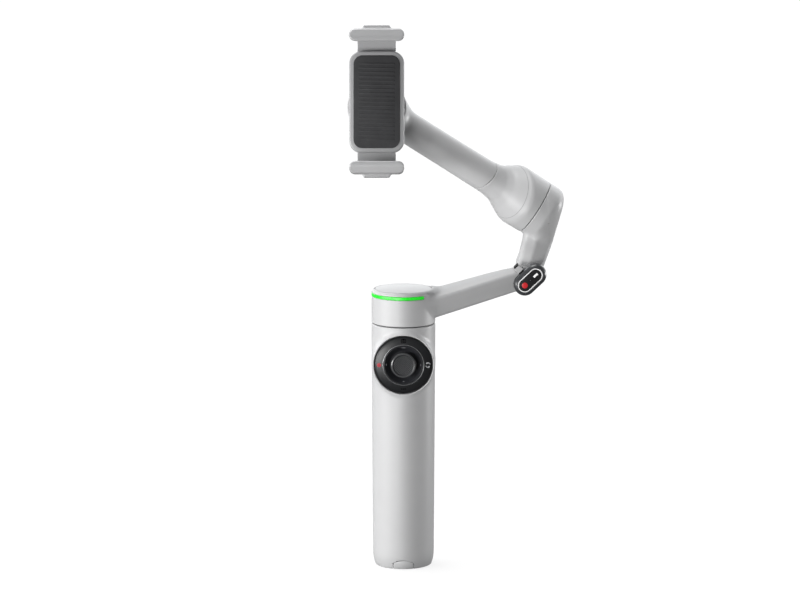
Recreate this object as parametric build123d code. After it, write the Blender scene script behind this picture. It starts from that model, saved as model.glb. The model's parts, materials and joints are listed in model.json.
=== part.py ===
from build123d import *
import math
import os

# Three-axis phone gimbal with a round grip, built-in extension rod and pull-out tripod.
# Millimetres. +Z runs up the grip, -Y is the side with the controls, +X is the arm's side.
# The origin is the mouth of the tripod socket, in the middle of the grip's flat base.

# ---- grip ----
GRIP_TOP = 142.5
GRIP_TOP_RADIUS = 18.45
GRIP_LOW_RADIUS = 17.75
GRIP_LOW_Z = 8.0
GRIP_FOOT_RADIUS = 15.6
GRIP_FOOT_CORNER = (17.05, 1.6)
CAVITY_RADIUS = 16.4
FOOT_BORE = 15.4
FOOT_FLOOR = 6.5
TAB_WIDTH = 10.6
TAB_TOP = 6.9
TAB_GAP = 0.2

# ---- control panel, on the front of the grip ----
CONTROL_Z = 121.0
PLATFORM_RADIUS = 18.0
PLATFORM_OUT = 17.6
PANEL_BORE = 17.05
RING_OUTER = 16.8
RING_INNER = 11.5
RING_FRONT = 18.3
RING_BACK = 16.6
CARRIER_FRONT = 15.8
CARRIER_BACK = 14.7
DISH_RADIUS = 11.3
DISH_FRONT = 18.1
DISH_FLOOR = 14.8
DISH_FLOOR_RADIUS = 9.0
STICK_PIVOT = 11.5
YOKE_RADIUS = 6.0
CAP_RADIUS = 7.25
CAP_FRONT = 20.0
CAP_BACK = 17.6
PANEL_LEDGE = 12.2

# ---- back and side of the grip ----
TRIGGER_PIN_Y = 16.5
TRIGGER_PIN_Z = 127.5
POWER_Z = 88.0
PORT_Y = 5.5
PORT_Z = 70.0
SCREW_PLACES = [(x, z) for x in (-13.4, 13.4) for z in (55.0, 105.0)]

# ---- extension rod, behind the grip's axis ----
ROD_Y = 6.2
ROD_LOW = 53.0
ROD_TUBES = [(8.00, 6.96), (6.90, 5.86), (5.80, 4.80)]
ROD_CLEARANCE = 0.06
SLEEVE_OUTER = 9.2
COLLAR_LOW = 138.3
COLLAR_TOP = 140.2
PLATE_LOW = 140.4
PLATE_TOP = 142.7
PLATE_RADIUS = 16.1
PAN_SPINDLE_RADIUS = 4.0
BULKHEAD_LOW = 50.0

# ---- pan motor housing ----
PAN_LOW = 143.0
PAN_TOP = 162.7
PAN_RADIUS = 18.4
PAN_BORE = 16.3
PAN_CEILING = 158.4
CAP_DISC_RADIUS = 16.4
CAP_DISC_LOW = 161.2
LED_LOW, LED_HIGH = 158.6, 160.4
LED_FROM, LED_TO = -105.0, 40.6
LED_INNER = 17.2

# ---- pan arm: two rounded-rectangle sections joined by a straight loft ----
ARM_ROOT = (12.0, -3.2, 152.7)
ARM_ROOT_SIZE = (17.6, 16.8)
ARM_TIP = (68.0, 3.75, 168.55)
ARM_TIP_SIZE = (11.1, 15.0)
ARM_CORNER = 4.5

# ---- fold hinge ----
FOLD_POINT = (73.0, 9.5, 171.0)
FOLD_TILT = 20.0
EAR_RADIUS = 6.3
EAR_FRONT = 11.5
EAR_BACK = 3.3
KNUCKLE_RADIUS = 7.9
KNUCKLE_FRONT = 2.75
KNUCKLE_BACK = -13.5
FOLD_PIN_RADIUS = 2.5
FOLD_SWEEP_RADIUS = 22.0
RUNNING_CLEARANCE = 0.05

STOP_CENTRE = (66.6, 1.2, 173.85)
STOP_SLOPE = 43.6
STOP_SIZE = (3.9, 6.8, 4.2)

# ---- pod on the hinge ----
POD_CENTRE = (73.0, 168.3)
POD_SLOPE = 43.6
POD_SPACING = 8.56
POD_RADIUS = 6.2
POD_FRONT = -6.2
POD_BACK = 1.0
POD_WELL = -4.6
POD_KEY_RADIUS = 3.58

# ---- tilt motor ----
TILT_CENTRE = Vector(76.3, 19.0, 207.1)
ROLL_CENTRE = Vector(-15.3, 13.0, 265.7)
MOTOR_RADIUS = 16.5
MOTOR_BORE = 14.6
MAGNET_OUTER, MAGNET_INNER = 13.2, 11.4
STATOR_RADIUS = 10.8
SHAFT_RADIUS = 3.0
BEARING_RADIUS = 6.5
CABLE_DUCT_RADIUS = 5.0
# The cone's rings lean: rise per mm along the motor's own X and Y, then each ring's height and radius.
CONE_LEAN = (0.54, -0.11)
CONE_STRETCH = math.sqrt(1 + CONE_LEAN[0] ** 2 + CONE_LEAN[1] ** 2)
CONE_RINGS = ((14.3, 17.1), (16.0, 16.3), (21.0, 13.5), (24.5, 11.4), (28.5, 10.1), (35.5, 9.4))
NECK_RADIUS = 9.2

# ---- roll motor and clamp, leaning back from the user ----
HEAD_LEAN = 10.0
ROLL_RADIUS = 17.0
ROLL_BORE = 14.8
ROLL_FRONT = 11.2
ROLL_BACK = -11.2
CLAMP_RISE = 2.6
CLAMP_WIDTH = 31.5
CLAMP_HALF_HEIGHT = 29.0
CLAMP_BACK = 14.6
CLAMP_SPLIT = 20.2
CLAMP_COVER = 22.2
CLAMP_PAD = 23.0
PHONE_WIDTH = 76.7
PHONE_FRONT = 31.6
LINER = 1.0
JAW_WALL = 2.0
JAW_LIP = 4.3
JAW_FRONT = 33.6

# ---- tripod ----
SOCKET_RADIUS = 3.175
SOCKET_DEPTH = 9.0
HUB_TOP = 5.9
BOSS_RADIUS = 9.0
BOSS_TOP = 10.0
LEG_WIDTH = 10.0
LEG_NEAR, LEG_FAR = 10.6, 15.2
LEG_LOW, LEG_TOP = 7.1, 49.2
LEG_ANGLES = (30.0, 150.0, 270.0)
LEG_REACH = 15.1
STEM_RADIUS = 2.5
STEM_TOP = 100.0

LOW = (Align.MIN, Align.MIN, Align.MIN)
BASE = (Align.CENTER, Align.CENTER, Align.MIN)

# Local frames: Z of each one is the axis that its pieces turn about or slide along.
panel = Plane(origin=(0, 0, CONTROL_Z), x_dir=(1, 0, 0), z_dir=(0, -1, 0))
fold_axis = Vector(0, -math.cos(math.radians(FOLD_TILT)), -math.sin(math.radians(FOLD_TILT)))
fold = Plane(origin=FOLD_POINT, x_dir=(1, 0, 0), z_dir=fold_axis)
tilt_axis = (ROLL_CENTRE - TILT_CENTRE).normalized()
tilt = Plane(origin=TILT_CENTRE, x_dir=(0, 1, 0), z_dir=tilt_axis)
roll_axis = Vector(0, -math.cos(math.radians(HEAD_LEAN)), math.sin(math.radians(HEAD_LEAN)))
roll = Plane(origin=ROLL_CENTRE, x_dir=(1, 0, 0), z_dir=roll_axis)
clamp = roll * Pos(0, CLAMP_RISE, 0)


def cyl(radius, low, high, x=0.0, y=0.0):
    """A round bar along Z between two heights."""
    return Pos(x, y, low) * Cylinder(radius, high - low, align=BASE)


def ring(outer, inner, low, high, x=0.0, y=0.0):
    """A round tube along Z between two heights."""
    return cyl(outer, low, high, x, y) - cyl(inner, low - 1, high + 1, x, y)


def block(xs, ys, zs):
    """A box given by its limits on each axis."""
    return Pos(xs[0], ys[0], zs[0]) * Box(xs[1] - xs[0], ys[1] - ys[0], zs[1] - zs[0], align=LOW)


def slot(spacing, radius, low, high):
    """A stadium-shaped plate along Z."""
    return Pos(0, 0, low) * extrude(SlotCenterToCenter(spacing, 2 * radius), high - low)


def bar(profile, low, high):
    """A flat profile extruded along Z between two heights."""
    return Pos(0, 0, low) * extrude(profile, high - low)


def turned(edges):
    """A solid of revolution about Z from the edges of its half section in the XZ plane."""
    return revolve(make_face(edges), Axis.Z)


def save(name, shape):
    export_step(shape, os.path.join("parts", name + ".step"))


def grip_outline():
    """The grip's outer form: a slight taper with a rounded foot, and the panel's platform."""
    body = turned(
        Line((0, 0, 0), (GRIP_FOOT_RADIUS, 0, 0))
        + ThreePointArc(
            (GRIP_FOOT_RADIUS, 0, 0),
            (GRIP_FOOT_CORNER[0] - 0.35, 0, GRIP_FOOT_CORNER[1] - 1.05),
            (GRIP_FOOT_CORNER[0], 0, GRIP_FOOT_CORNER[1]),
        )
        + Line((GRIP_FOOT_CORNER[0], 0, GRIP_FOOT_CORNER[1]), (GRIP_LOW_RADIUS, 0, GRIP_LOW_Z))
        + Line((GRIP_LOW_RADIUS, 0, GRIP_LOW_Z), (GRIP_TOP_RADIUS, 0, GRIP_TOP))
        + Line((GRIP_TOP_RADIUS, 0, GRIP_TOP), (0, 0, GRIP_TOP))
        + Line((0, 0, GRIP_TOP), (0, 0, 0))
    )
    platform = panel * cyl(PLATFORM_RADIUS, 4.0, PLATFORM_OUT)
    return body + platform


def arch(gap):
    """The tab on the tripod hub: straight sides and an arched top, less a gap all round."""
    half = TAB_WIDTH / 2 - gap
    rise = 1.4
    face = make_face(
        Line((-half, -1), (half, -1))
        + Line((half, -1), (half, TAB_TOP - rise - gap))
        + ThreePointArc((half, TAB_TOP - rise - gap), (0, TAB_TOP - gap), (-half, TAB_TOP - rise - gap))
        + Line((-half, TAB_TOP - rise - gap), (-half, -1))
    )
    return Plane.XZ * Pos(0, 0, 12) * extrude(face, 12)


def grip_shells():
    """Two casing halves with openings for the panel, tab, trigger, power button and port."""
    shell = grip_outline()
    shell -= cyl(CAVITY_RADIUS, FOOT_FLOOR, GRIP_TOP + 1)
    shell -= cyl(FOOT_BORE, -1, FOOT_FLOOR + 1)
    shell -= panel * cyl(PANEL_BORE, PANEL_LEDGE, 30)
    shell -= panel * cyl(PANEL_BORE - 1.5, 8.0, PANEL_LEDGE + 1)
    shell -= arch(0)
    shell -= block((-6.3, 6.3), (10, 30), (106.5, 129.7))
    shell -= Plane(origin=(0, 0, POWER_Z), x_dir=(1, 0, 0), z_dir=(0, 1, 0)) * cyl(4.2, 10, 30)
    shell -= Plane(origin=(0, TRIGGER_PIN_Y, TRIGGER_PIN_Z), z_dir=(1, 0, 0)) * cyl(1.0, -6.9, 6.9)
    shell -= block((-30, -10), (PORT_Y - 1.6, PORT_Y + 1.6), (PORT_Z - 4.5, PORT_Z + 4.5))
    front = shell & block((-40, 40), (-40, 0), (-5, 200))
    back = shell & block((-40, 40), (0, 40), (-5, 200))
    save("grip_front_shell", front)
    save("grip_back_shell", back)


def grip_inside():
    """Fixed pieces inside the grip."""
    frame = cyl(CAVITY_RADIUS - 0.05, BULKHEAD_LOW, ROD_LOW)
    frame += cyl(CAVITY_RADIUS - 0.05, COLLAR_LOW, COLLAR_TOP)
    frame += cyl(SLEEVE_OUTER, ROD_LOW - 1, COLLAR_LOW + 1, y=ROD_Y)
    frame -= cyl(ROD_TUBES[0][0] + ROD_CLEARANCE, ROD_LOW, COLLAR_TOP + 1, y=ROD_Y)
    frame -= cyl(STEM_RADIUS + RUNNING_CLEARANCE, BULKHEAD_LOW - 1, ROD_LOW + 1, y=ROD_Y)
    save("rod_sleeve", frame)
    pack = cyl(15.7, 57, 101) & block((-20, 20), (-20, ROD_Y - SLEEVE_OUTER - 0.4), (50, 110))
    save("battery_pack", pack)
    save("main_board", block((-12.4, 12.4), (-8.6, -7.4), (103.5, 136.5)))
    port = block((-16.9, -10.2), (PORT_Y - 2.4, PORT_Y + 2.4), (PORT_Z - 5.6, PORT_Z + 5.6))
    port &= cyl(17.3, 0, 200)
    port -= block((-20, -10.8), (PORT_Y - 1.3, PORT_Y + 1.3), (PORT_Z - 4.2, PORT_Z + 4.2))
    port += block((-16.4, -10.2), (PORT_Y - 0.35, PORT_Y + 0.35), (PORT_Z - 3.4, PORT_Z + 3.4))
    save("usb_c_port", port & cyl(16.35, 0, 200))
    save("shell_screws", Compound(children=[grip_screw(x, z) for x, z in SCREW_PLACES]))


def grip_screw(x, z):
    """A pan-head screw joining the shells from inside, across the parting plane."""
    place = Plane(origin=(x, 0, z), x_dir=(1, 0, 0), z_dir=(0, 1, 0))
    return place * (cyl(1.0, -4.0, 3.0) + cyl(1.8, 3.0, 4.4) - cyl(0.6, 3.8, 5.0))


def panel_fixed():
    """The panel's fixed pieces: base plate, ring switches, stick bearing and dish."""
    base = cyl(PANEL_BORE - 0.05, PANEL_LEDGE, 13.4) + cyl(9.1, 9.6, 13.4) - cyl(6.5, 9.0, 14.0)
    base -= Pos(0, 0, STICK_PIVOT) * Rot(0, 90, 0) * cyl(0.8 + RUNNING_CLEARANCE, -8.2, 8.2)
    save("control_base", panel * base)
    switches = [
        panel * Pos(14.2 * math.cos(a), 14.2 * math.sin(a)) * cyl(1.2, 13.4, 14.2)
        for a in (0, math.pi / 2, math.pi, 3 * math.pi / 2)
    ]
    save("ring_switches", Compound(children=switches))
    dish = turned(
        Line((5.2, 0, DISH_FLOOR), (DISH_FLOOR_RADIUS, 0, DISH_FLOOR))
        + Line((DISH_FLOOR_RADIUS, 0, DISH_FLOOR), (DISH_RADIUS - 0.5, 0, DISH_FRONT))
        + Line((DISH_RADIUS - 0.5, 0, DISH_FRONT), (DISH_RADIUS, 0, DISH_FRONT))
        + Line((DISH_RADIUS, 0, DISH_FRONT), (DISH_RADIUS, 0, 13.4))
        + Line((DISH_RADIUS, 0, 13.4), (5.2, 0, 13.4))
        + Line((5.2, 0, 13.4), (5.2, 0, DISH_FLOOR))
    )
    save("control_dish", panel * dish)


def panel_moving():
    """The four-way ring on its carrier, and the stick on its yoke."""
    face = cyl(RING_OUTER, RING_BACK, RING_FRONT)
    face = fillet(face.edges().filter_by(GeomType.CIRCLE).sort_by(Axis.Z)[-1], 0.5)
    save("control_ring", panel * (face - cyl(RING_INNER, 10, 30)))
    save("ring_carrier", panel * ring(15.9, 12.2, CARRIER_BACK, CARRIER_FRONT))
    yoke = ring(YOKE_RADIUS, 3.65, 10.9, 12.0)
    for side in (-1, 1):
        yoke += Pos(6.6 * side, 0, STICK_PIVOT) * Rot(0, 90, 0) * cyl(0.8, -1.2, 1.2)
    yoke -= cyl(3.65, 9, 14)
    save("joystick_yoke", panel * yoke)
    stick = Pos(0, 0, STICK_PIVOT) * Sphere(3.6) & cyl(4, 9.4, 13.2)
    stick += cyl(2.2, 12.0, 18.4)
    save("joystick_stick", panel * stick)
    cap = cyl(CAP_RADIUS, CAP_BACK, CAP_FRONT)
    cap = fillet(cap.edges().filter_by(GeomType.CIRCLE).sort_by(Axis.Z)[-1], 0.9)
    save("joystick_cap", panel * (cap - cyl(2.2, 10, 18.4)))


def back_controls():
    """The trigger on its pin, and the power button, on the back of the grip."""
    pin = Plane(origin=(0, TRIGGER_PIN_Y, TRIGGER_PIN_Z), z_dir=(1, 0, 0))
    save("trigger_pin", pin * cyl(1.0, -6.9, 6.9))
    plate = Plane.YZ * make_face(
        Line((17.7, 107.0), (20.6, 107.6))
        + ThreePointArc((20.6, 107.6), (19.6, 117.0), (19.9, 127.0))
        + Line((19.9, 127.0), (18.4, 129.2))
        + Line((18.4, 129.2), (17.7, 129.2))
        + Line((17.7, 129.2), (17.7, 107.0))
    )
    lever = Pos(-6.0, 0, 0) * extrude(plate, 12.0, dir=(1, 0, 0))
    for side in (-1, 1):
        ear = pin * cyl(1.9, 5.1 * side - 0.9, 5.1 * side + 0.9)
        ear += block(
            (5.1 * side - 0.9, 5.1 * side + 0.9),
            (TRIGGER_PIN_Y, 18.0),
            (TRIGGER_PIN_Z - 1.7, TRIGGER_PIN_Z + 1.7),
        )
        lever += ear
    lever -= pin * cyl(1.0 + RUNNING_CLEARANCE, -8, 8)
    save("trigger", lever)
    button = Plane(origin=(0, 0, POWER_Z), x_dir=(1, 0, 0), z_dir=(0, 1, 0)) * cyl(3.95, 16.3, 18.9)
    save("power_button", button)


def extension_rod():
    """Three nested tubes; the last one carries the pan motor's base plate."""
    for number, (outer, inner) in enumerate(ROD_TUBES, start=1):
        low = ROD_LOW + number
        high = PLATE_LOW if number == len(ROD_TUBES) else PLATE_LOW - 0.6
        save(f"rod_tube_{number}", ring(outer, inner, low, high, y=ROD_Y))
    spindle = cyl(PAN_SPINDLE_RADIUS, PLATE_TOP - 1, 158.0)
    save("pan_base_plate", cyl(PLATE_RADIUS, PLATE_LOW, PLATE_TOP) + spindle)


def pan_motor():
    """Stator and shaft on the base plate, and the turning pieces above."""
    save("pan_stator", ring(11.4, PAN_SPINDLE_RADIUS, PLATE_TOP, 153.0))
    save("pan_magnets", ring(PAN_BORE, 12.0, 144.0, 153.2))
    save("pan_bearing", ring(7.5, PAN_SPINDLE_RADIUS + RUNNING_CLEARANCE, 153.8, PAN_CEILING))
    save("pan_cap", cyl(CAP_DISC_RADIUS, CAP_DISC_LOW, PAN_TOP))


def led_sector(outer):
    """The arc of the light band, from LED_FROM to LED_TO degrees round from the front."""
    width = outer - LED_INNER
    middle = Pos(LED_INNER + width / 2, 0, (LED_LOW + LED_HIGH) / 2)
    profile = middle * Rot(90, 0, 0) * Rectangle(width, LED_HIGH - LED_LOW)
    return Rot(0, 0, LED_FROM - 90) * revolve(profile, Axis.Z, LED_TO - LED_FROM)


def arm_section(centre, size):
    """A rounded rectangle square to X, with its depth along Y."""
    place = Plane(origin=centre, x_dir=(0, 1, 0), z_dir=(1, 0, 0))
    return place * RectangleRounded(size[0], size[1], ARM_CORNER)


def pod_plane():
    """The pod's plane, facing the user, turned to the pod's slope."""
    origin = (POD_CENTRE[0], 0, POD_CENTRE[1])
    return Plane(origin=origin, x_dir=(1, 0, 0), z_dir=(0, -1, 0)) * Rot(0, 0, POD_SLOPE)


def fold_stop():
    """The small block at the inner corner of the fold that the upper arm opens up to."""
    stop = Pos(*STOP_CENTRE) * Rot(0, -STOP_SLOPE, 0) * Box(*STOP_SIZE)
    return stop - fold * cyl(FOLD_SWEEP_RADIUS, -20.0, EAR_BACK)


def pan_arm():
    """The pan motor's turning housing, cast in one with the arm and the hinge ear."""
    housing = cyl(PAN_RADIUS, PAN_LOW, PAN_TOP)
    housing = fillet(housing.edges().filter_by(GeomType.CIRCLE).sort_by(Axis.Z)[-1], 1.9)
    arm = loft([arm_section(ARM_ROOT, ARM_ROOT_SIZE), arm_section(ARM_TIP, ARM_TIP_SIZE)])
    body = housing + arm + fold * cyl(EAR_RADIUS, EAR_BACK, EAR_FRONT)
    body -= fold * cyl(FOLD_SWEEP_RADIUS, -20.0, EAR_BACK)
    body -= cyl(PAN_BORE, PAN_LOW - 1, PAN_CEILING)
    body -= cyl(CAP_DISC_RADIUS, CAP_DISC_LOW, PAN_TOP + 1)
    body += ring(9.0, 7.5, 153.8, PAN_CEILING + 0.1)
    body -= led_sector(PAN_RADIUS + 2)
    body -= fold * cyl(FOLD_PIN_RADIUS, -1, 8.0)
    body -= pod_plane() * slot(POD_SPACING, POD_RADIUS, -POD_BACK, 12.0)
    body -= fold_stop()
    body = max(body.solids(), key=lambda solid: solid.volume)
    save("pan_arm_housing", body)
    save("led_band", led_sector(PAN_RADIUS + 0.05))


def fold_hinge():
    """Pin and washer of the fold hinge, with the pod that covers its front."""
    save("fold_pin", fold * cyl(FOLD_PIN_RADIUS, KNUCKLE_BACK + 1.0, 8.0))
    save("fold_stop", fold_stop() - pod_plane() * slot(POD_SPACING, POD_RADIUS, -POD_BACK, 12.0))
    save("fold_washer", fold * ring(5.8, FOLD_PIN_RADIUS, KNUCKLE_FRONT + 0.05, EAR_BACK))
    pod = slot(POD_SPACING, POD_RADIUS, -POD_BACK, -POD_FRONT)
    pod = chamfer(pod.faces().sort_by(Axis.Z)[-1].edges(), 1.3)
    pod -= slot(POD_SPACING, POD_KEY_RADIUS + 0.07, -POD_WELL, 12.0)
    save("hinge_pod", pod_plane() * pod)
    save("pod_button", pod_plane() * slot(POD_SPACING, POD_KEY_RADIUS, -POD_WELL + 0.6, -POD_FRONT + 0.2))


def level_section(centre, size, corner):
    """A rounded rectangle square to Z."""
    return Plane(origin=centre) * RectangleRounded(size[0], size[1], corner)


def upper_arm():
    """The arm above the fold: hinge knuckle, rising beam and the tilt motor's outer cup."""
    beam = loft(
        [
            level_section((73.4, 14.9, 174.0), (15.9, 18.4), 4.5),
            level_section((78.05, 17.5, 189.0), (17.5, 17.2), 5.0),
            level_section((80.6, 19.0, 203.0), (19.2, 20.0), 6.0),
            level_section((81.4, 19.2, 213.0), (17.4, 21.0), 8.0),
        ]
    )
    beam -= tilt * cyl(40, 0, 60)
    beam -= fold * cyl(40, KNUCKLE_FRONT, 60)
    cup = turned(
        Line((0, 0, 0), (MOTOR_RADIUS, 0, 0))
        + Line((MOTOR_RADIUS, 0, 0), (MOTOR_RADIUS, 0, -5.5))
        + ThreePointArc((MOTOR_RADIUS, 0, -5.5), (14.2, 0, -11.0), (8.7, 0, -13.3))
        + Line((8.7, 0, -13.3), (0, 0, -13.3))
        + Line((0, 0, -13.3), (0, 0, 0))
    )
    body = beam + tilt * cup + fold * cyl(KNUCKLE_RADIUS, KNUCKLE_BACK, KNUCKLE_FRONT)
    body -= tilt * cyl(MOTOR_BORE, -9.0, 1.0)
    body -= fold * cyl(FOLD_PIN_RADIUS + RUNNING_CLEARANCE, KNUCKLE_BACK + 0.8, 5.0)
    save("upper_arm", body)


def tilt_motor():
    """Stator and shaft fixed in the upper arm's cup, and the pieces in the turning one."""
    save("tilt_stator", tilt * (cyl(STATOR_RADIUS, -9.0, 6.5) + cyl(SHAFT_RADIUS, 6.0, 12.3)))
    save("tilt_magnets", tilt * ring(MOTOR_BORE, MAGNET_INNER, 0.8, 7.5))
    save("tilt_bearing", tilt * ring(BEARING_RADIUS, SHAFT_RADIUS + RUNNING_CLEARANCE, 8.6, 12.5))


def oblique(height):
    """A plane across the tilt motor's axis, leaning so that it is lowest on the user's side."""
    x, y = CONE_LEAN
    return Plane(origin=(0, 0, height), x_dir=(x, y, x * x + y * y), z_dir=(-x, -y, 1))


def roll_arm():
    """The tilt motor's turning cup, its cone and neck, and the roll motor's housing."""
    cup = turned(
        Line((0, 0, 0.3), (16.6, 0, 0.3))
        + Line((16.6, 0, 0.3), (17.1, 0, 24.5))
        + Line((17.1, 0, 24.5), (0, 0, 24.5))
        + Line((0, 0, 24.5), (0, 0, 0.3))
    )
    cup -= oblique(CONE_RINGS[0][0]) * Box(80, 80, 40, align=BASE)
    cone = loft([oblique(height) * Ellipse(radius * CONE_STRETCH, radius) for height, radius in CONE_RINGS])
    form = cup + cone + cyl(NECK_RADIUS, 22.0, 104.0)
    drum = cyl(ROLL_RADIUS, ROLL_BACK, ROLL_FRONT)
    rims = drum.edges().filter_by(GeomType.CIRCLE).sort_by(Axis.Z)
    drum = fillet(rims[0], 2.0)
    body = tilt * form + roll * drum
    body -= tilt * cyl(MOTOR_BORE, -1.0, 8.5)
    body -= tilt * cyl(BEARING_RADIUS, 8.0, 12.5)
    body -= tilt * cyl(CABLE_DUCT_RADIUS, 15.0, 100.0)
    body -= roll * cyl(ROLL_BORE, ROLL_BACK - 1, ROLL_FRONT + 1)
    save("roll_arm", body)


def roll_motor():
    """The roll housing's back cap and stator, and the turning bell, shaft and mount plate."""
    cap = cyl(ROLL_BORE, ROLL_BACK, -9.0) + ring(8.5, BEARING_RADIUS, -9.0, -4.0)
    save("roll_housing_cap", roll * cap)
    save("roll_bearing", roll * ring(BEARING_RADIUS, SHAFT_RADIUS + RUNNING_CLEARANCE, -8.9, -5.0))
    save("roll_stator", roll * ring(STATOR_RADIUS, 4.0, -4.0, 6.0))
    save("roll_magnets", roll * ring(MAGNET_OUTER, MAGNET_INNER, -2.0, 6.0))
    bell = ring(14.4, MAGNET_OUTER, -2.0, 7.5) + cyl(14.4, 7.5, 9.3) + cyl(6.0, 9.0, 11.6)
    save("roll_rotor", roll * (bell + cyl(SHAFT_RADIUS, -8.8, 8.0)))
    plate = cyl(15.5, 11.6, 14.5)
    pockets = [Pos(9.5 * i, 9.5 * j, 0) * cyl(2.5, 13.0, 15.0) for i in (-1, 1) for j in (-1, 1)]
    for pocket in pockets:
        plate -= pocket
    save("mount_plate", roll * plate)
    magnets = [roll * Pos(9.5 * i, 9.5 * j, 0) * cyl(2.5, 13.0, 14.5) for i in (-1, 1) for j in (-1, 1)]
    save("mount_magnets", Compound(children=magnets))


def clamp_body():
    """The phone clamp's tray, cover, rubber pad and spring drum."""
    outline = RectangleRounded(CLAMP_WIDTH, 2 * CLAMP_HALF_HEIGHT, 7.0)
    tray = bar(outline, CLAMP_BACK, CLAMP_SPLIT)
    tray -= block((-11.4, 11.4), (-40, 40), (16.8, 30))
    tray -= cyl(5.0, 15.0, 17.0)
    save("clamp_base", clamp * tray)
    save("clamp_spring_drum", clamp * ring(4.9, 1.5, 15.0, 16.7))
    save("clamp_cover", clamp * bar(outline, CLAMP_SPLIT, CLAMP_COVER))
    pad = RectangleRounded(CLAMP_WIDTH - 5.0, 2 * CLAMP_HALF_HEIGHT - 5.0, 5.0)
    save("clamp_pad", clamp * bar(pad, CLAMP_COVER, CLAMP_PAD))


def jaw(name, side, slide_low, slide_high):
    """One L-shaped jaw: a sliding plate, an outer wall with a raised boss, and a front lip."""
    seat = PHONE_WIDTH / 2
    wall_in = seat + LINER
    wall_out = wall_in + JAW_WALL
    lip_in = seat - JAW_LIP
    profile = Pos(0, (lip_in + wall_out) / 2) * RectangleRounded(CLAMP_WIDTH, wall_out - lip_in, 3.4)
    body = bar(profile, slide_low, JAW_FRONT)
    body -= block((-20, 20), (0, wall_in), (0, PHONE_FRONT))
    boss = bar(Pos(0, wall_out + 0.9) * Rectangle(16.7, 2.2), 19.5, 31.0)
    boss = chamfer(boss.faces().sort_by(Axis.Y)[-1].edges(), 0.8)
    body += boss
    body += block((-11.1, 11.1), (-20, wall_in + 0.5), (slide_low, slide_high))
    liner = block((-13, 13), (seat, wall_in), (CLAMP_PAD + 0.4, PHONE_FRONT))
    if side < 0:
        body = mirror(body, Plane.XZ)
        liner = mirror(liner, Plane.XZ)
    save(name, clamp * body)
    save(name + "_liner", clamp * liner)


def leg_place(angle):
    """A frame at the hub's middle whose X points out along one leg."""
    return Rot(0, 0, angle)


def tripod():
    """The pull-out tripod: hub with socket and tab, stem, three stowed legs, pins and feet."""
    hub = cyl(FOOT_BORE - 0.2, 0, HUB_TOP)
    hub += grip_outline() & arch(TAB_GAP) & block((-20, 20), (-30, -12), (0, 10))
    hub += cyl(BOSS_RADIUS, HUB_TOP - 0.5, BOSS_TOP)
    pins = []
    feet = []
    for number, angle in enumerate(LEG_ANGLES, start=1):
        place = leg_place(angle)
        axle = Pos((LEG_NEAR + LEG_FAR) / 2, 0, 9.2) * Rot(90, 0, 0)
        for side in (-1, 1):
            tangent = sorted((5.2 * side, 6.9 * side))
            hub += place * block((11.2, 13.6), tangent, (HUB_TOP - 0.5, 11.4))
        hub -= place * axle * cyl(1.0, -6.5, 6.5)
        leg = block((LEG_NEAR, LEG_FAR), (-LEG_WIDTH / 2, LEG_WIDTH / 2), (LEG_LOW, 45.5))
        leg -= block((LEG_NEAR - 1, LEG_NEAR + 1.6), (-3.2, 3.2), (14.0, 43.0))
        leg &= cyl(LEG_REACH, 0, LEG_TOP)
        leg -= axle * cyl(1.0, -9, 9)
        save(f"tripod_leg_{number}", place * leg)
        pins.append(place * axle * cyl(1.0, -6.5, 6.5))
        foot = block((LEG_NEAR, LEG_FAR), (-LEG_WIDTH / 2, LEG_WIDTH / 2), (45.5, LEG_TOP))
        foot = chamfer(foot.faces().sort_by(Axis.Z)[-1].edges(), 1.0)
        feet.append(place * (foot & cyl(LEG_REACH, 0, LEG_TOP)))
    hub -= cyl(SOCKET_RADIUS, -1, SOCKET_DEPTH)
    save("tripod_hub", hub)
    save("leg_pins", Compound(children=pins))
    save("leg_feet", Compound(children=feet))
    save("tripod_stem", cyl(STEM_RADIUS, BOSS_TOP, STEM_TOP, y=ROD_Y))


os.makedirs("parts", exist_ok=True)
grip_shells()
grip_inside()
panel_fixed()
panel_moving()
back_controls()
extension_rod()
pan_motor()
pan_arm()
fold_hinge()
upper_arm()
tilt_motor()
roll_arm()
roll_motor()
clamp_body()
jaw("jaw_upper", 1, 17.0, 18.3)
jaw("jaw_lower", -1, 18.5, 19.8)
tripod()
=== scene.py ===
"""Looks of a three-axis phone gimbal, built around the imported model. Lengths are millimetres."""
import json
import math

import bmesh
import bpy
import numpy as np
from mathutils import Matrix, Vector


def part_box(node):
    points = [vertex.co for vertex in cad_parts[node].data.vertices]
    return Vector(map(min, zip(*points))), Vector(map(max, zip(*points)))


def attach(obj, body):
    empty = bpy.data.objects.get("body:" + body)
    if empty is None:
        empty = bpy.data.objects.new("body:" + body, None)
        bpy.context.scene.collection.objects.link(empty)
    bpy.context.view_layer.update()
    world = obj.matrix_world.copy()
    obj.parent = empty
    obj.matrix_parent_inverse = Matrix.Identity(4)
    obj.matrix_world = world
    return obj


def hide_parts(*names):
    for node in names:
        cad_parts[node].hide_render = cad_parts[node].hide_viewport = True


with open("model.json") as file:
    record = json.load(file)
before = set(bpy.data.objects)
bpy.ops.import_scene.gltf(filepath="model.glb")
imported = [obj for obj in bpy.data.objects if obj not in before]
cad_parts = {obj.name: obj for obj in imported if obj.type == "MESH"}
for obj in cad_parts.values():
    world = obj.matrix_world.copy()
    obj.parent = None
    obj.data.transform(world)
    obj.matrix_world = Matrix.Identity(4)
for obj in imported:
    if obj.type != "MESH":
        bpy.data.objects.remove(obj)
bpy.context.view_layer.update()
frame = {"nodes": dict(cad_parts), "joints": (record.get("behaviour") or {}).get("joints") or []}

MM = 0.001
JOINTS = {joint["name"]: joint for joint in frame["joints"]}


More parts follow.
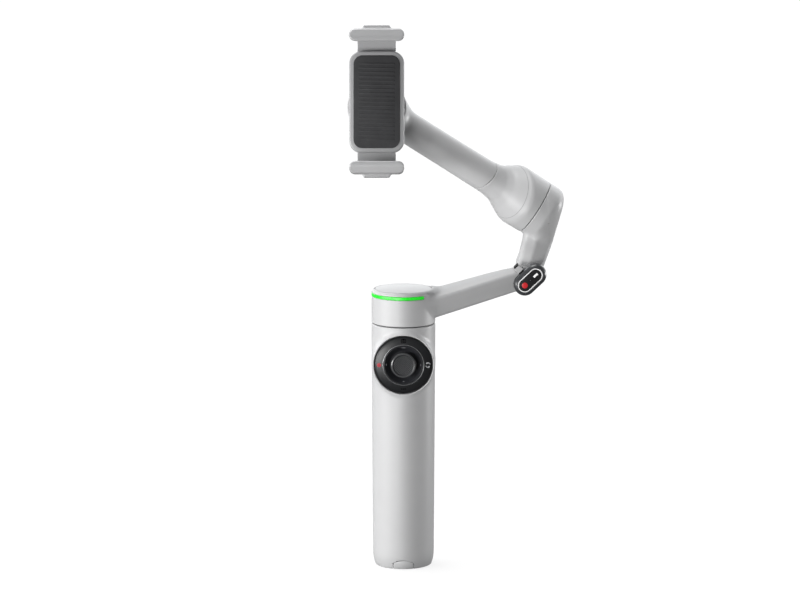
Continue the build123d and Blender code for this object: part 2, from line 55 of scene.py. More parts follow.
# ---- places: local frames whose Z is a joint's or a piece's own axis ----
class Place:
    """An origin and three axes, x, y and z, as the rows of a matrix."""

    def __init__(self, origin, z_axis, x_axis):
        z = np.array(z_axis, float)
        z /= np.linalg.norm(z)
        x = np.array(x_axis, float)
        x -= z * x.dot(z)
        x /= np.linalg.norm(x)
        self.origin = np.array(origin, float)
        self.axes = np.array([x, np.cross(z, x), z])

    def out(self, points):
        """From this frame to the object's own."""
        return np.asarray(points, float) @ self.axes + self.origin

    def into(self, points):
        """From the object's frame to this one."""
        return (points - self.origin) @ self.axes.T

    def turned(self, degrees):
        """The same place, turned about its own Z."""
        a = math.radians(degrees)
        return Place(self.origin, self.axes[2], self.axes[0] * math.cos(a) + self.axes[1] * math.sin(a))

    def shifted(self, x=0.0, y=0.0, z=0.0):
        """The same directions, from another origin."""
        return Place(self.out([x, y, z]), self.axes[2], self.axes[0])


def joint_place(name, x_axis):
    """The place of a joint: its pivot and its axis."""
    joint = JOINTS[name]
    return Place(np.array(joint["pos_m"]) / MM, joint["axis"], x_axis)


world = Place((0, 0, 0), (0, 0, 1), (1, 0, 0))
CONTROL_Z = JOINTS["joystick_up_down"]["pos_m"][2] / MM
panel = Place((0, 0, CONTROL_Z), (0, -1, 0), (1, 0, 0))
fold = joint_place("arm_fold", (1, 0, 0))
tilt = joint_place("tilt_turn", (0, 1, 0))
roll = joint_place("roll_turn", (1, 0, 0))
CLAMP_RISE = 2.6
clamp = roll.shifted(y=CLAMP_RISE)
POD_SLOPE = 43.6
POD_SPACING = 8.56
POD_POCKET = 6.28
POD_MIDDLE = (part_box("hinge_pod")[0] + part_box("hinge_pod")[1]) / 2 / MM
pod = Place((POD_MIDDLE.x, 0, POD_MIDDLE.z), (0, -1, 0), (1, 0, 0)).turned(POD_SLOPE)


# ---- distance fields: negative inside, arrays of points in, one number a point out ----
def both(a, b, soft=0.0):
    """What is inside both fields, with the edge between them rounded."""
    a, b = a + soft, b + soft
    outside = np.hypot(np.maximum(a, 0), np.maximum(b, 0))
    return np.minimum(np.maximum(a, b), 0) + outside - soft


def cut(a, b, soft=0.0):
    """Field a without field b."""
    return both(a, -b, soft)


def join(a, b, blend):
    """Both fields together, with a hollow blend between them."""
    h = np.maximum(blend - np.abs(a - b), 0) / blend
    return np.minimum(a, b) - h * h * blend / 4


def rod(p, radius, low, high, soft=0.0):
    """A round bar along Z."""
    side = np.hypot(p[:, 0], p[:, 1]) - radius
    return both(side, np.abs(p[:, 2] - (low + high) / 2) - (high - low) / 2, soft)


def rectangle(x, y, half_x, half_y, corner):
    """A rounded rectangle, seen from its middle."""
    return both(np.abs(x) - half_x, np.abs(y) - half_y, corner)


def pod_pocket(points):
    """The slot-shaped pocket that the hinge pod sits in."""
    p = pod.into(points)
    low, high = -1.0, 14.0
    side = np.hypot(np.maximum(np.abs(p[:, 0]) - POD_SPACING / 2, 0), p[:, 1]) - POD_POCKET
    return both(side, np.abs(p[:, 2] - (low + high) / 2) - (high - low) / 2)


def smooth_curve(at, stops, values):
    """A smooth line through a few stops, with no overshoot."""
    stops, values = np.array(stops, float), np.array(values, float)
    width = np.diff(stops)
    rise = np.diff(values) / width
    slope = np.zeros(len(stops))
    for i in range(1, len(stops) - 1):
        if rise[i - 1] * rise[i] > 0:
            slope[i] = 2 * rise[i - 1] * rise[i] / (rise[i - 1] + rise[i])
    slope[0], slope[-1] = rise[0], rise[-1]
    i = np.clip(np.searchsorted(stops, at) - 1, 0, len(width) - 1)
    t = np.clip((at - stops[i]) / width[i], 0, 1)
    first = values[i] * (1 + 2 * t) * (1 - t) ** 2 + values[i + 1] * t * t * (3 - 2 * t)
    return first + width[i] * (slope[i] * t * (1 - t) ** 2 - slope[i + 1] * t * t * (1 - t))


# ---- meshes ----
BLOCK = 4
CORNERS = [np.array((i, j, k)) for i in (0, 1) for j in (0, 1) for k in (0, 1)]
CELL_EDGES = [(a, b) for a in CORNERS for b in CORNERS if (b - a).sum() == 1 and (b >= a).all()]


def lattice(axes):
    """Every point of a grid, one row each."""
    return np.stack(np.meshgrid(*axes, indexing="ij"), -1).reshape(-1, 3)


def sampled(field, low, high, step):
    """The field on a regular grid. Blocks far from the surface only get a rough value."""
    axes = []
    for a, b in zip(low, high):
        blocks = math.ceil((b - a) / step / BLOCK)
        axes.append(a + step * np.arange(blocks * BLOCK + 1))
    coarse = [a[::BLOCK] for a in axes]
    rough = field(lattice(coarse)).reshape([len(a) for a in coarse])
    near = np.abs(rough) < 2.2 * BLOCK * step
    for axis in range(3):
        near = near | np.roll(near, 1, axis)
    value = rough
    for axis in range(3):
        value = np.repeat(value, BLOCK, axis)
        near = np.repeat(near, BLOCK, axis)
    size = [len(a) for a in axes]
    value = value[: size[0], : size[1], : size[2]].copy()
    spots = np.argwhere(near[: size[0], : size[1], : size[2]])
    value[tuple(spots.T)] = field(spots * step + np.array(low, float))
    return value


def surface(field, low, high, step):
    """Points, four-sided faces and normals of a field's zero surface."""
    value = sampled(field, low, high, step)
    inside = value < 0
    cells = np.array(value.shape) - 1
    total = 0
    for i, j, k in CORNERS:
        total = total + inside[i : cells[0] + i, j : cells[1] + j, k : cells[2] + k].astype(int)
    mixed = (total > 0) & (total < 8)
    number = np.full(mixed.shape, -1)
    number[mixed] = np.arange(mixed.sum())
    cell = np.argwhere(mixed)
    spot = np.zeros((len(cell), 3))
    count = np.zeros(len(cell))
    for a, b in CELL_EDGES:
        first, second = value[tuple((cell + a).T)], value[tuple((cell + b).T)]
        crossing = (first < 0) != (second < 0)
        share = np.where(crossing, first / np.where(crossing, first - second, 1), 0)
        spot += crossing[:, None] * (a + share[:, None] * (b - a))
        count += crossing
    points = np.array(low, float) + step * (cell + spot / count[:, None])
    faces = []
    for axis in range(3):
        forward, u, v = np.roll(np.eye(3, dtype=int), -axis, 0)
        i, j, k = np.array(inside.shape) - forward
        start = inside[:i, :j, :k]
        stop = inside[forward[0] :, forward[1] :, forward[2] :]
        edge = np.argwhere(start != stop)
        keep = ((edge - u - v) >= 0).all(1) & (edge < cells).all(1)
        edge = edge[keep]
        corners = [edge - u - v, edge - v, edge, edge - u]
        quad = np.stack([number[tuple(c.T)] for c in corners], 1)
        outward = inside[tuple(edge.T)]
        quad[~outward] = quad[~outward][:, ::-1]
        faces.append(quad)
    faces = np.concatenate(faces)
    return settled(field, points, faces, step)


def slope_of(field, points, reach):
    """How the field changes along x, y and z at each point."""
    moves = np.eye(3) * reach
    return np.stack([(field(points + m) - field(points - m)) / (2 * reach) for m in moves], 1)


def settled(field, points, faces, step):
    """Spreads the points evenly along the surface and puts them exactly on it."""
    a = faces.ravel()
    b = np.roll(faces, -1, 1).ravel()
    start, stop = np.concatenate([a, b]), np.concatenate([b, a])
    share = np.bincount(start, minlength=len(points))
    for turn in range(5):
        slope = slope_of(field, points, 0.02)
        length = np.maximum(np.linalg.norm(slope, axis=1), 0.2)
        normal = slope / length[:, None]
        away = np.clip(field(points) / length, -step, step)
        points = points - normal * away[:, None]
        if turn < 3:
            total = np.stack([np.bincount(start, points[stop, i], len(points)) for i in range(3)], 1)
            drift = total / share[:, None] - points
            drift -= normal * (drift * normal).sum(1)[:, None]
            points = points + 0.5 * drift
    return points, faces, slope_of(field, points, 0.02)


def rounded(corners, steps=6):
    """A closed outline from its corners, each with its own radius: (x, y, radius)."""
    line = []
    for i, (x, y, radius) in enumerate(corners):
        here = np.array((x, y), float)
        before = np.array(corners[i - 1][:2], float) - here
        after = np.array(corners[(i + 1) % len(corners)][:2], float) - here
        before /= np.linalg.norm(before)
        after /= np.linalg.norm(after)
        half = math.acos(np.clip(before.dot(after), -1, 1)) / 2
        if radius == 0 or half > 1.55:
            line.append(tuple(here))
            continue
        middle = here + (before + after) / np.linalg.norm(before + after) * radius / math.sin(half)
        first, last = here + before * radius / math.tan(half), here + after * radius / math.tan(half)
        a, b = math.atan2(*(first - middle)[::-1]), math.atan2(*(last - middle)[::-1])
        turn = (b - a + math.pi) % (2 * math.pi) - math.pi
        for s in range(steps + 1):
            angle = a + turn * s / steps
            line.append((middle[0] + radius * math.cos(angle), middle[1] + radius * math.sin(angle)))
    return line


def circle(sides):
    """Rings for a turned piece: each level's first number is its radius."""
    angles = [2 * math.pi * i / sides for i in range(sides)]
    return lambda radius: [(radius * math.cos(a), radius * math.sin(a)) for a in angles]


def slab(width, height, corner, steps=10):
    """Rings for a plate with round corners: each level's first number is how far in it is."""
    def ring(inset):
        a, b = width / 2 - inset, height / 2 - inset
        r = min(max(corner - inset, 0.02), a, b)
        line = []
        x, y = a - r, b - r
        for cx, cy, start in ((x, y, 0), (-x, y, 90), (-x, -y, 180), (x, -y, 270)):
            for s in range(steps + 1):
                angle = math.radians(start + 90 * s / steps)
                line.append((cx + r * math.cos(angle), cy + r * math.sin(angle)))
        return line
    return ring


def eased(low, high, soft_low, soft_high, steps=4):
    """Levels of a plate with its two rims rounded: (inset, height)."""
    quarter = [math.pi / 2 * i / steps for i in range(steps + 1)]
    rim = [(1 - math.sin(a), 1 - math.cos(a)) for a in quarter]
    levels = [(soft_low * inset, low + soft_low * rise) for inset, rise in rim]
    return levels + [(soft_high * inset, high - soft_high * rise) for inset, rise in rim[::-1]]


def layered(ring, levels, loop=False):
    """Points and faces of rings stacked level by level, capped, or joined end to end."""
    rings = [[(x, y, z) for x, y in ring(size)] for size, z in levels]
    n = len(rings[0])
    points = [p for r in rings for p in r]
    faces = []
    count = len(rings)
    for i in range(count if loop else count - 1):
        j = (i + 1) % count
        faces += [(i * n + k, i * n + (k + 1) % n, j * n + (k + 1) % n, j * n + k) for k in range(n)]
    if not loop:
        faces.append(tuple(range(n))[::-1])
        faces.append(tuple((count - 1) * n + k for k in range(n)))
    return points, faces


def merged(*parts):
    """Several sets of points and faces as one."""
    points, faces = [], []
    for more_points, more_faces in parts:
        faces += [tuple(i + len(points) for i in face) for face in more_faces]
        points += [tuple(p) for p in more_points]
    return points, faces


def moved(part, x=0.0, y=0.0):
    """A set of points and faces, moved sideways."""
    points, faces = part
    return [(p[0] + x, p[1] + y, p[2]) for p in points], faces


def strip(outline, low, high):
    """A flat outline made into a thin solid."""
    n = len(outline)
    points = [(x, y, low) for x, y in outline] + [(x, y, high) for x, y in outline]
    faces = [tuple(range(n))[::-1], tuple(range(n, 2 * n))]
    faces += [(k, (k + 1) % n, n + (k + 1) % n, n + k) for k in range(n)]
    return points, faces


def piece(name, part, place, body, material, replaces=(), normals=None):
    """Makes one piece of the object, parents it to its body's empty and hides the parts it replaces."""
    points, faces = part
    mesh = bpy.data.meshes.new(name)
    mesh.from_pydata((place.out(points) * MM).tolist(), [], [list(map(int, f)) for f in faces])
    mesh.update()
    if normals is None:
        clean = bmesh.new()
        clean.from_mesh(mesh)
        bmesh.ops.recalc_face_normals(clean, faces=clean.faces)
        clean.to_mesh(mesh)
        clean.free()
        mesh.shade_smooth()
        mesh.set_sharp_from_angle(angle=math.radians(32))
    else:
        mesh.shade_smooth()
        turned = normals @ place.axes
        turned /= np.linalg.norm(turned, axis=1)[:, None]
        mesh.normals_split_custom_set_from_vertices(turned.tolist())
    mesh.materials.append(material)
    thing = bpy.data.objects.new(name, mesh)
    bpy.context.scene.collection.objects.link(thing)
    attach(thing, body)
    if replaces:
        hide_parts(*replaces)
    return thing


def skin(name, field, low, high, step, place, body, material, replaces=()):
    """A piece made from a distance field given in its place's own frame."""
    points, faces, normals = surface(field, low, high, step)
    return piece(name, (points, faces), place, body, material, replaces, normals)


# ---- materials ----
def finish(name, color, roughness, metallic=0.0, mottle=0.03, grain=0.06, grain_mm=0.25, spread=0.05,
           stretch=(1, 1, 1), specular=0.5, coat=0.0, glow=None):
    """A moulded, painted or metal surface: slow colour drift, fine grain and uneven gloss."""
    material = bpy.data.materials.new(name)
    material.use_nodes = True
    nodes, links = material.node_tree.nodes, material.node_tree.links
    shader = nodes["Principled BSDF"]
    shader.inputs["Metallic"].default_value = metallic
    shader.inputs["Specular IOR Level"].default_value = specular
    shader.inputs["Coat Weight"].default_value = coat
    shader.inputs["Coat Roughness"].default_value = 0.1
    # Glow makes a surface give off light: a real lamp for the light band, painted light for the marks and
    # trims.
    if glow:
        shader.inputs["Emission Color"].default_value = (*glow[0], 1)
        shader.inputs["Emission Strength"].default_value = glow[1]
    where = nodes.new("ShaderNodeTexCoord")
    mapping = nodes.new("ShaderNodeMapping")
    mapping.inputs["Scale"].default_value = stretch
    links.new(where.outputs["Object"], mapping.inputs["Vector"])

    def noise(size_mm, detail):
        node = nodes.new("ShaderNodeTexNoise")
        node.inputs["Scale"].default_value = 1 / (size_mm * MM)
        node.inputs["Detail"].default_value = detail
        links.new(mapping.outputs["Vector"], node.inputs["Vector"])
        return node.outputs["Fac"]

    ramp = nodes.new("ShaderNodeValToRGB")
    ramp.color_ramp.elements[0].position = 0.3
    ramp.color_ramp.elements[1].position = 0.7
    ramp.color_ramp.elements[0].color = (*[c * (1 - mottle) for c in color], 1)
    ramp.color_ramp.elements[1].color = (*[min(c * (1 + mottle), 1) for c in color], 1)
    links.new(noise(9.0, 3.0), ramp.inputs["Fac"])
    links.new(ramp.outputs["Color"], shader.inputs["Base Color"])
    gloss = nodes.new("ShaderNodeMapRange")
    gloss.inputs["To Min"].default_value = max(roughness - spread, 0.02)
    gloss.inputs["To Max"].default_value = min(roughness + spread, 1.0)
    links.new(noise(1.6, 4.0), gloss.inputs["Value"])
    links.new(gloss.outputs["Result"], shader.inputs["Roughness"])
    bump = nodes.new("ShaderNodeBump")
    bump.inputs["Strength"].default_value = grain
    bump.inputs["Distance"].default_value = 0.05 * MM
    links.new(noise(grain_mm, 2.0), bump.inputs["Height"])
    links.new(bump.outputs["Normal"], shader.inputs["Normal"])
    return material


SHELL = finish("shell_plastic", (0.50, 0.50, 0.503), 0.40, mottle=0.012, grain=0.10, grain_mm=0.30,
               spread=0.03)
CAP_FINISH = finish("cap_plastic", (0.52, 0.52, 0.523), 0.34, mottle=0.01, grain=0.05, grain_mm=0.4,
                    spread=0.03)
JAW_METAL = finish("jaw_metal", (0.46, 0.46, 0.465), 0.38, metallic=0.25, mottle=0.02, grain=0.08,
                   grain_mm=0.2, spread=0.04)
TRAY_METAL = finish("tray_metal", (0.39, 0.39, 0.395), 0.40, metallic=0.25, mottle=0.02, grain=0.10,
                    grain_mm=0.25)
GLOSS_BLACK = finish("ring_gloss", (0.004, 0.0045, 0.0055), 0.31, mottle=0.05, grain=0.01, spread=0.01,
                     specular=0.5)
DISH_BLACK = finish("dish_black", (0.020, 0.021, 0.024), 0.36, mottle=0.05, grain=0.01, spread=0.01,
                    specular=0.5)
SOFT_BLACK = finish("stick_rubber", (0.019, 0.020, 0.022), 0.52, mottle=0.08, grain=0.15, grain_mm=0.2)
CAP_LIP = finish("stick_lip", (0.045, 0.046, 0.048), 0.24, mottle=0.05, grain=0.02, specular=0.7)
DARK = finish("dark_plastic", (0.045, 0.046, 0.05), 0.48, mottle=0.08, grain=0.15)
POD_BEZEL = finish("pod_bezel", (0.032, 0.034, 0.037), 0.30, mottle=0.08, grain=0.05, specular=0.6)
POD_FACE = finish("pod_face", (0.012, 0.012, 0.013), 0.20, mottle=0.10, grain=0.01, spread=0.02, specular=0.5)
# Darker grey for the thin moulding line: painted shade that stands in for the shadow in its crease.
LINE_SHADE = finish("moulding_line_painted_shade", (0.26, 0.26, 0.265), 0.5, mottle=0.03)
# White trim that also glows: painted light to keep it bright, it is no lamp.
WHITE_PAINTED_GLOW = finish("white_trim_painted_glow", (0.82, 0.82, 0.82), 0.35, mottle=0.02, grain=0.03, glow=((1, 1, 1), 0.22))
# Red that also glows: painted light on the pod's record dot, it is no lamp.
RED_PAINTED_GLOW = finish("red_mark_painted_glow", (0.50, 0.015, 0.02), 0.35, mottle=0.04, grain=0.03, glow=((0.6, 0.01, 0.015), 0.18))
# Red print of the record mark that also glows: painted light, the mark is no lamp.
RECORD_PAINTED_GLOW = finish("record_mark_painted_glow", (0.36, 0.035, 0.045), 0.45, mottle=0.05, grain=0.02, specular=0.2,
                   glow=((0.6, 0.06, 0.08), 0.08))
# Light grey print that also glows: painted light, the print is no lamp.
ICON_PAINTED_GLOW = finish("icon_painted_glow", (0.55, 0.56, 0.58), 0.4, mottle=0.04, grain=0.03, glow=((0.5, 0.5,
                    0.52), 0.15))
ICON_DARK = finish("icon_dark", (0.0, 0.0, 0.0), 0.9, mottle=0.05, grain=0.02, specular=0.0)
TRIM_METAL = finish("trim_metal", (0.28, 0.285, 0.29), 0.30, metallic=0.8, mottle=0.03, grain=0.02)
ICON_GREY = finish("icon_grey", (0.16, 0.16, 0.17), 0.4, mottle=0.05, grain=0.02)
LIGHT_BAND = finish("light_band", (0.02, 0.62, 0.03), 0.28, mottle=0.03, grain=0.02, glow=((0.008, 0.56,
                    0.008), 0.52))
RUBBER = finish("rubber", (0.030, 0.030, 0.032), 0.72, mottle=0.15, grain=0.35, grain_mm=0.35, spread=0.08)
# Near-black used only inside gaps: painted shade that darkens the gaps round the control ring and between
# housings.
GAP_SHADE = finish("gap_painted_shade", (0.010, 0.010, 0.011), 0.6, mottle=0.1, grain=0.1)
STOP_SEAL = finish("stop_rubber", (0.004, 0.004, 0.0045), 0.85, mottle=0.1, grain=0.1)
STEEL = finish("steel", (0.56, 0.56, 0.57), 0.26, metallic=1.0, mottle=0.04, grain=0.05, stretch=(1, 1, 0.08))
ALLOY = finish("rod_alloy", (0.46, 0.46, 0.47), 0.33, metallic=0.9, mottle=0.03, grain=0.12, grain_mm=0.12,
               stretch=(1, 1, 0.04))
COPPER = finish("copper_winding", (0.60, 0.24, 0.09), 0.30, metallic=0.8, mottle=0.2, grain=0.5, grain_mm=0.5,
                stretch=(1, 1, 6))
MAGNET = finish("magnet_nickel", (0.60, 0.58, 0.54), 0.20, metallic=1.0, mottle=0.04, grain=0.03)
BATTERY = finish("battery_wrap", (0.03, 0.10, 0.30), 0.35, mottle=0.1, grain=0.08, coat=0.4)
BOARD = finish("circuit_board", (0.012, 0.10, 0.04), 0.40, mottle=0.35, grain=0.3, grain_mm=1.2)

NODE_FINISHES = {
    DARK: "control_base ring_carrier joystick_yoke rod_sleeve mount_plate",
    SOFT_BLACK: "joystick_stick",
    STEEL: "shell_screws trigger_pin fold_pin fold_washer pan_base_plate pan_bearing tilt_bearing"
           " roll_bearing leg_pins tripod_stem usb_c_port clamp_spring_drum roll_rotor ring_switches",
    ALLOY: "rod_tube_1 rod_tube_2 rod_tube_3",
    COPPER: "pan_stator tilt_stator roll_stator",
    MAGNET: "pan_magnets tilt_magnets roll_magnets mount_magnets",
    BATTERY: "battery_pack",
    BOARD: "main_board",
    RUBBER: "jaw_upper_liner jaw_lower_liner leg_feet",
}
for coating, names in NODE_FINISHES.items():
    for node_name in names.split():
        mesh = frame["nodes"][node_name].data
        mesh.materials.clear()
        mesh.materials.append(coating)


# ---- grip ----
GRIP_HEIGHT = 142.5
GRIP_RADIUS = 17.76
GRIP_TAPER = 0.0052
FOOT_RISE = 9.5
FOOT_INSET = 1.5
BORE = 16.4
FOOT_BORE = 15.15
PANEL_BORE = 17.05
TRIGGER_SLOT_Z = 118.0
TRIGGER_SLOT_HALF = (6.4, 11.9)
POWER_Z = 88.0
POWER_HOLE = 4.2
PORT_Z = 70.0
LEG_ANGLES = (30, 150, 270)
TAB_HALF = 5.8
TAB_TOP = 5.3
TAB_ARCH = 1.7


def grip_radius(z):
    """The grip widens slowly upwards and curves in at the foot."""
    foot = np.clip((FOOT_RISE - z) / FOOT_RISE, 0, 1)
    return GRIP_RADIUS + GRIP_TAPER * (z - 8.0) - FOOT_INSET * foot ** 2.6


def grip_form(p, less=0.0):
    """The outer form of the grip with the platform of the control panel."""
    side = np.hypot(p[:, 0], p[:, 1]) - grip_radius(p[:, 2]) + less
    form = both(side, np.abs(p[:, 2] - GRIP_HEIGHT / 2) - GRIP_HEIGHT / 2, 0.5)
    platform = rod(panel.into(p), 18.0, 4.0, 17.6, 0.5)
    return join(form, platform, 2.4)


def tab_region(p, gap):
    """The arched tab at the foot, seen from the front."""
    top = TAB_TOP - TAB_ARCH * (p[:, 0] / TAB_HALF) ** 2
    face = both(np.abs(p[:, 0]) - TAB_HALF + 0.4 * gap, p[:, 2] - top + gap, 0.3)
    return np.maximum(face, p[:, 1] + 11)


def grip_shell(side):
    """One half of the grip: side -1 is the front and 1 the back."""
    def field(p):
        local = panel.into(p)
        form = grip_form(p)
        hollow = np.minimum(rod(p, BORE, 6.5, 170), rod(p, FOOT_BORE, -5, 10))
        well = np.minimum(rod(local, PANEL_BORE, 12.2, 40), rod(local, PANEL_BORE - 1.5, 8, 13))
        form = cut(form, np.minimum(hollow, well), 0.25)
        form = cut(form, tab_region(p, 0.0), 0.15)
        trigger = rectangle(p[:, 0], p[:, 2] - TRIGGER_SLOT_Z, *TRIGGER_SLOT_HALF, 1.0)
        power = np.hypot(p[:, 0], p[:, 2] - POWER_Z) - POWER_HOLE
        form = cut(form, np.maximum(np.minimum(trigger, power), 8 - p[:, 1]), 0.35)
        port = rectangle(p[:, 1] - 5.5, p[:, 2] - PORT_Z, 1.6, 4.5, 1.55)
        form = cut(form, np.maximum(port, p[:, 0] + 8), 0.3)
        return both(form, -side * p[:, 1] + 0.03, 0.25)
    return field


for shell_name, side in (("grip_front_shell", -1), ("grip_back_shell", 1)):
    edges = sorted((0.0, 20.0 * side))
    skin(shell_name, grip_shell(side), (-20, edges[0] - 1, -1), (20, edges[1] + 1, 144), 0.62,
         world, "grip", SHELL, [shell_name])


SCREW_RADIUS = 3.175
SCREW_PITCH = 1.27


def hub_field(p):
    """The tripod hub: a disc that closes the foot, a boss, leg lugs and the nail tab."""
    form = rod(p, 14.95, 0, 5.9, 0.45)
    sunk = 0.01 + 0.8 * np.clip((p[:, 2] - 1.6) / 3.6, 0, 1) ** 2
    tab = both(grip_form(p, sunk), tab_region(p, 0.07), 0.1)
    form = np.minimum(form, np.maximum(tab, p[:, 1] + 12))
    form = join(form, rod(p, 9.0, 5.0, 10.0, 0.4), 1.0)
    for angle in LEG_ANGLES:
        x, y, z = world.turned(angle).into(p).T
        pair = np.maximum(np.abs(x - 12.4) - 1.2, np.abs(np.abs(y) - 6.05) - 0.85)
        form = np.minimum(form, np.maximum(pair, np.abs(z - 8.4) - 3.0))
    socket = rod(p, SCREW_RADIUS, -1, 9.0) + 0.12 * np.cos(p[:, 2] * 2 * math.pi / SCREW_PITCH)
    form = cut(form, socket, 0.15)
    for angle in LEG_ANGLES:
        x, y, z = world.turned(angle).into(p).T
        form = cut(form, np.maximum(rectangle(x - 12.9, y, 1.2, 3.2, 1.15), z - 1.2), 0.1)
    return form


skin("tripod_hub", hub_field, (-16.5, -18.5, -1), (16.5, 16.5, 12), 0.45,
     world, "tripod", SHELL, ["tripod_hub"])

# ---- control panel ----
def collar(levels, sides=128):
    """A closed band turned about Z, from its cross-section: (radius, height)."""
    return layered(circle(sides), levels, loop=True)


RING_LEVELS = rounded([(11.5, 16.6, 0), (16.3, 16.6, 0), (16.3, 17.53, 0.3), (15.2, 17.87, 0),
                       (11.95, 18.32, 0.15), (11.5, 18.05, 0.12)])
piece("control_ring", collar(RING_LEVELS), panel, "control_ring", GLOSS_BLACK,
      ["control_ring"])
DISH_LEVELS = rounded([(5.2, 13.4, 0), (11.3, 13.4, 0), (11.3, 18.05, 0.2), (10.95, 18.1, 0.1),
                       (8.0, 14.9, 1.2), (5.2, 14.8, 0.1)])
piece("control_dish", collar(DISH_LEVELS), panel, "grip", DISH_BLACK, ["control_dish"])


def knurled_cap():
    """The stick's cap: a rim and a dished top with a fine crossed knurl."""
    side = [(2.2, 17.6), (6.1, 17.6), (6.9, 18.15), (7.2, 18.7), (7.25, 19.0), (7.15, 19.4),
            (6.9, 19.75), (6.5, 19.95), (6.15, 19.95), (5.85, 19.75), (5.7, 19.55)]
    steps = 44
    top = []
    for i in range(steps + 1):
        dip = 0.28 * math.cos(math.pi / 2 * (1 - i / steps))
        top.append((5.62 - 5.5 * i / steps, 19.5 - dip))
    points, faces = layered(circle(160), side + top)
    shaped = []
    for x, y, z in points:
        r = math.hypot(x, y)
        if r < 5.45:
            u, v = (x + y) * 2.6, (x - y) * 2.6
            z += 0.15 * (abs(math.sin(u)) ** 0.7 + abs(math.sin(v)) ** 0.7 - 1)
        shaped.append((x, y, z))
    return shaped, faces


piece("joystick_cap", knurled_cap(), panel, "joystick", SOFT_BLACK, ["joystick_cap"])
LIP_LEVELS = rounded([(6.25, 19.80, 0.05), (7.05, 19.55, 0.12), (7.22, 19.15, 0.1), (7.29, 19.15, 0),
                      (7.12, 19.72, 0.2), (6.55, 20.0, 0.1), (6.2, 19.99, 0.05)], 3)
piece("joystick_lip", collar(LIP_LEVELS), panel, "joystick", CAP_LIP)


def arc_band(radius, width, start, stop, steps=10):
    """A curved line of some width, from one angle to another."""
    angles = [math.radians(start + (stop - start) * i / steps) for i in range(steps + 1)]
    outer = [((radius + width / 2) * math.cos(a), (radius + width / 2) * math.sin(a)) for a in angles]
    inner = [((radius - width / 2) * math.cos(a), (radius - width / 2) * math.sin(a)) for a in angles]
    return outer + inner[::-1]


def arrow(radius, start, stop):
    """A curved arrow, as one closed outline for its line and one for its head."""
    a = math.radians(stop)
    tip = math.radians(stop + 42)
    corners = ((radius - 0.55, a), (radius + 0.55, a), (radius, tip))
    head = [(r * math.cos(angle), r * math.sin(angle)) for r, angle in corners]
    return [arc_band(radius, 0.32, start, stop), head]


MARK_RADIUS = 14.05
MARK_HEIGHT = 18.03
RING_SLOPE = math.radians(8)


def ring_spot(angle):
    """A place on the ring's sloping face."""
    a = math.radians(angle)
    spot = np.array((MARK_RADIUS * math.cos(a), MARK_RADIUS * math.sin(a), MARK_HEIGHT))
    flat = math.sin(RING_SLOPE)
    lean = np.array((flat * math.cos(a), flat * math.sin(a), math.cos(RING_SLOPE)))
    return Place(panel.out(spot), lean @ panel.axes, (1, 0, 0))


def band(width, height, corner, thick, high):
    """A thin frame that stands on the surface."""
    return layered(slab(width, height, corner, 4), [(0, -0.1), (0, high), (thick, high), (thick, -0.1)], True)


flip_mark = [strip(line, -0.1, 0.05) for s in (0, 180) for line in arrow(1.3, 15 + s, 110 + s)]
camera_mark = [band(2.9, 2.1, 0.5, 0.34, 0.05),
               moved(strip(slab(1.0, 0.35, 0.1, 2)(0), -0.1, 0.05), y=1.2),
               collar([(0.62, -0.1), (0.62, 0.05), (0.32, 0.05), (0.32, -0.1)], 24)]
mode_mark = [moved(layered(circle(20), [(0.36, -0.1), (0.36, 0.05)]), x=1.05 * i) for i in (-1, 0, 1)]
record_mark = [layered(circle(32), [(1.2, -0.1), (1.2, 0.03), (1.1, 0.05)])]
# The flip and record marks glow a little: painted light on printed marks.
for mark_name, parts, angle, coating in (
    ("mark_camera", camera_mark, 90, ICON_DARK),
    ("mark_flip", flip_mark, 0, ICON_PAINTED_GLOW),
    ("mark_mode", mode_mark, -90, ICON_DARK),
    ("mark_record", record_mark, 180, RECORD_PAINTED_GLOW),
):
    piece(mark_name, merged(*parts), ring_spot(angle), "control_ring", coating)
# A near-black sleeve in the gap round the control ring: painted shade for the gap.
PANEL_SHADE_LEVELS = [(16.52, 12.3), (17.03, 12.3), (17.03, 17.3), (16.52, 17.3)]
piece("panel_gap_shade", collar(PANEL_SHADE_LEVELS), panel, "grip", GAP_SHADE)

TRIM_LEVELS = rounded([(11.45, 17.2, 0), (11.72, 17.2, 0), (12.0, 18.30, 0.1), (11.72, 18.36, 0.08),
                       (11.48, 18.12, 0.1)], 3)
piece("ring_trim", collar(TRIM_LEVELS), panel, "control_ring", TRIM_METAL)

TICK_RADIUS = 9.95
TICK_SIZES = ((0.45, 1.3), (2.3, 0.45), (0.45, 1.3), (1.0, 0.5))
ticks = []
for size, a in zip(TICK_SIZES, (0.0, math.pi / 2, math.pi, -math.pi / 2)):
    tick = strip(slab(*size, 0.15, 3)(0), 16.85, 17.15)
    ticks.append(moved(tick, x=TICK_RADIUS * math.cos(a), y=TICK_RADIUS * math.sin(a)))
piece("dish_ticks", merged(*ticks), panel, "grip", ICON_GREY)

# ---- back of the grip ----
TRIGGER_X = 6.0
TRIGGER_STOPS = (107, 109, 112, 118, 124, 127, 129.2)
TRIGGER_FACE = (19.6, 20.35, 20.0, 19.5, 19.65, 19.75, 18.5)
TRIGGER_PIVOT = np.array(JOINTS["trigger_pull"]["pos_m"]) / MM


